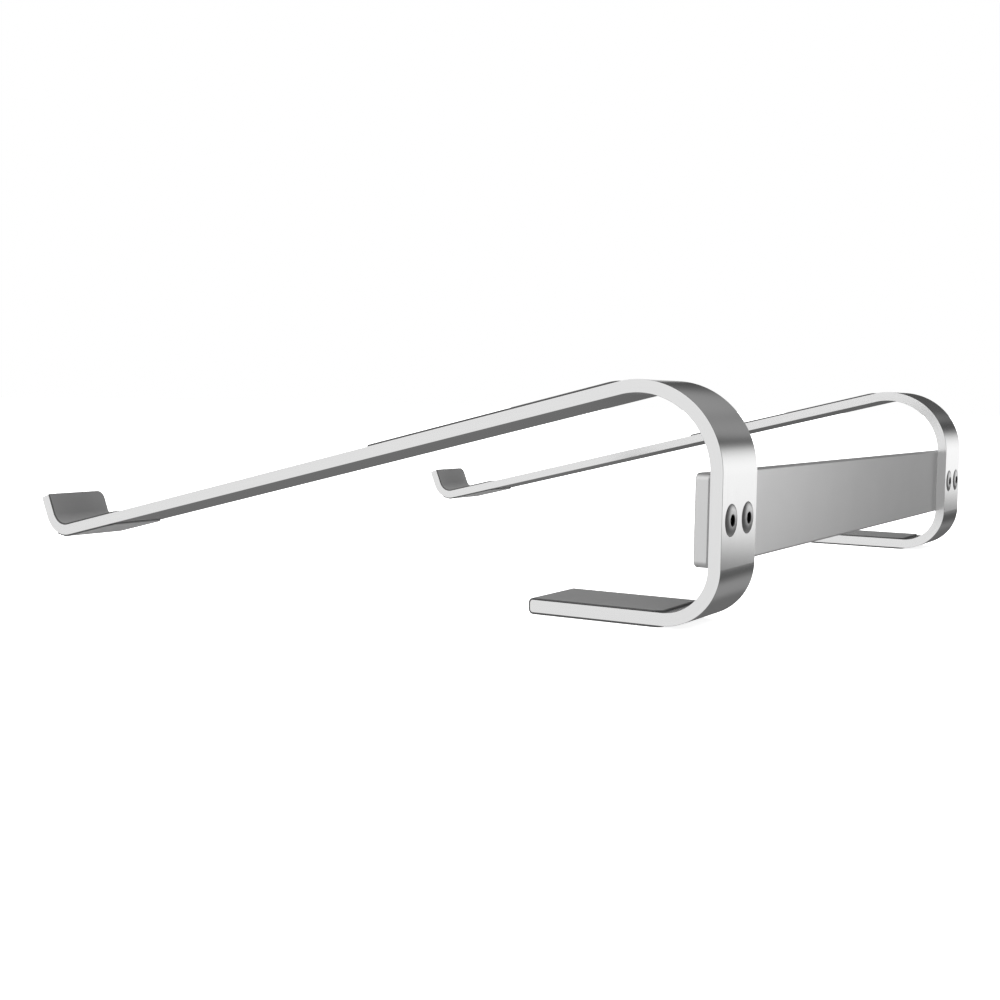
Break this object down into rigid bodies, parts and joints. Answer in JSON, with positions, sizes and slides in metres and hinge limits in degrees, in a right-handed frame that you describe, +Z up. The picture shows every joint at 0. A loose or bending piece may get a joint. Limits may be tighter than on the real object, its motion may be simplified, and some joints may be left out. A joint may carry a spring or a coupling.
{
  "type": "laptop stand",
  "caption": "Low open laptop stand: a pair of flat strips bent into a foot, back, sloping arm and front hook, joined by a cross bar and lined with rubber pads.",
  "frame": {"origin": "middle of the stand's footprint box, on the desk plane under the foot pads", "axes": "+X along the cross bar to the right bracket, +Y to the rear, where the backs stand, -Y to the user, +Z up"},
  "size_m": [0.305, 0.2872, 0.0738],
  "materials": {
    "aluminium": "satin bead-blasted and clear anodised, fine grain along the strip, softly rounded edges",
    "rubber": "dark grey matt silicone rubber sheet, slightly rounded edges",
    "screw_steel": "turned stainless steel, satin, with a dark hexagon socket"
  },
  "bodies": {
    "root": {"bracket_left": "aluminium", "bracket_right": "aluminium", "cross_bar": "aluminium", "screws": "screw_steel", "arm_pad_left": "rubber", "arm_pad_right": "rubber", "hook_pad_left": "rubber", "hook_pad_right": "rubber", "front_rest_pad_left": "rubber", "front_rest_pad_right": "rubber", "foot_pad_left": "rubber", "foot_pad_right": "rubber"}
  },
  "joints": []
}
